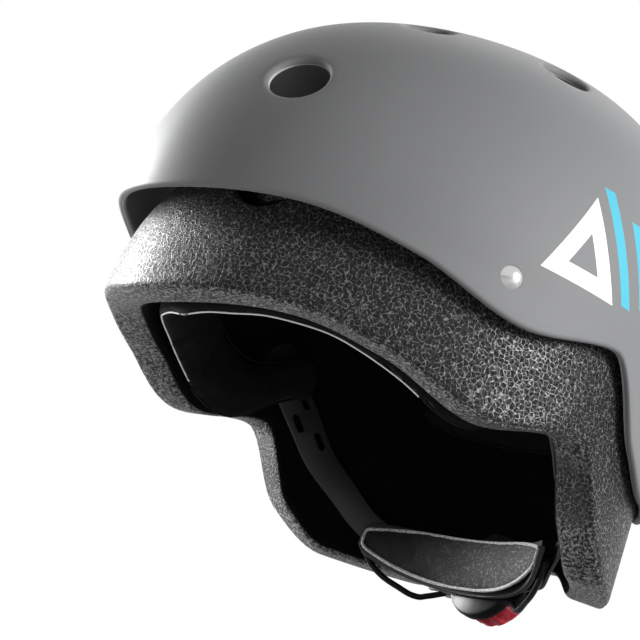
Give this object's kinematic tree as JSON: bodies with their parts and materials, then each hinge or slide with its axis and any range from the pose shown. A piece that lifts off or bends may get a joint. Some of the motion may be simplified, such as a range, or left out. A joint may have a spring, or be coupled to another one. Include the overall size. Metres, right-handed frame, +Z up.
{
  "type": "helmet",
  "caption": "Hard-shell skate style helmet, its shell lifted off a foam liner with comfort pads and a dial-adjusted rear fit band.",
  "frame": {"origin": "on the middle plane, under the middle of the helmet's box, level with its lowest point, the bottom of the dial", "axes": "+Z up as worn, -Y towards the brow, +X towards the wearer's left"},
  "size_m": [0.2208, 0.2588, 0.2147],
  "materials": {
    "shell": "satin",
    "rivet": "polished",
    "washer": "satin",
    "foam": "matte",
    "pad": "matte",
    "hook_and_loop": "matte",
    "black_plastic": "matte",
    "band_plastic": "satin",
    "nape_fabric": "matte",
    "housing_plastic": "gloss",
    "pinion_plastic": "satin",
    "dial_plastic": "gloss"
  },
  "bodies": {
    "liner": {"foam_liner": "foam", "brow_pad": "pad", "crown_pad": "pad", "rear_pad": "pad", "brow_patches": "hook_and_loop", "crown_patch": "hook_and_loop", "rear_patches": "hook_and_loop", "temple_inserts": "black_plastic", "temple_pins": "black_plastic"},
    "shell": {"outer_shell": "shell", "rivets": "rivet", "rivet_washers": "washer"},
    "fit_band": {"left_band": "band_plastic", "right_band": "band_plastic", "nape_cradle": "band_plastic", "cradle_pins": "black_plastic", "left_rib": "band_plastic", "right_rib": "band_plastic", "nape_pad": "nape_fabric", "dial_housing": "housing_plastic", "housing_screws": "washer"},
    "dial": {"pinion": "pinion_plastic", "dial_knob": "dial_plastic", "dial_screw": "washer"},
    "left_rack": {"left_rack": "band_plastic"},
    "right_rack": {"right_rack": "band_plastic"}
  },
  "joints": [
    {"name": "shell_lift", "type": "slide", "parent": "liner", "child": "shell", "axis": [0, 0, 1], "range_m": [-0.038, 0.13]},
    {"name": "band_pitch", "type": "hinge", "parent": "liner", "child": "fit_band", "pos_m": [0, 0.01144, 0.08188], "axis": [1, 0, 0], "range_deg": [-8, 1]},
    {"name": "dial_turn", "type": "hinge", "parent": "fit_band", "child": "dial", "pos_m": [0, 0.09044, 0.01888], "axis": [0, 0.9962, -0.0872], "range_deg": [-60, 100]},
    {"name": "left_rack_slide", "type": "slide", "parent": "fit_band", "child": "left_rack", "axis": [1, 0, 0], "range_m": [-0.0053, 0.0088]},
    {"name": "right_rack_slide", "type": "slide", "parent": "fit_band", "child": "right_rack", "axis": [-1, 0, 0], "range_m": [-0.0053, 0.0088]}
  ],
  "couplings": [
    {"joint": "left_rack_slide", "follows": "dial_turn", "m_per_rad": 0.005},
    {"joint": "right_rack_slide", "follows": "dial_turn", "m_per_rad": 0.005}
  ]
}
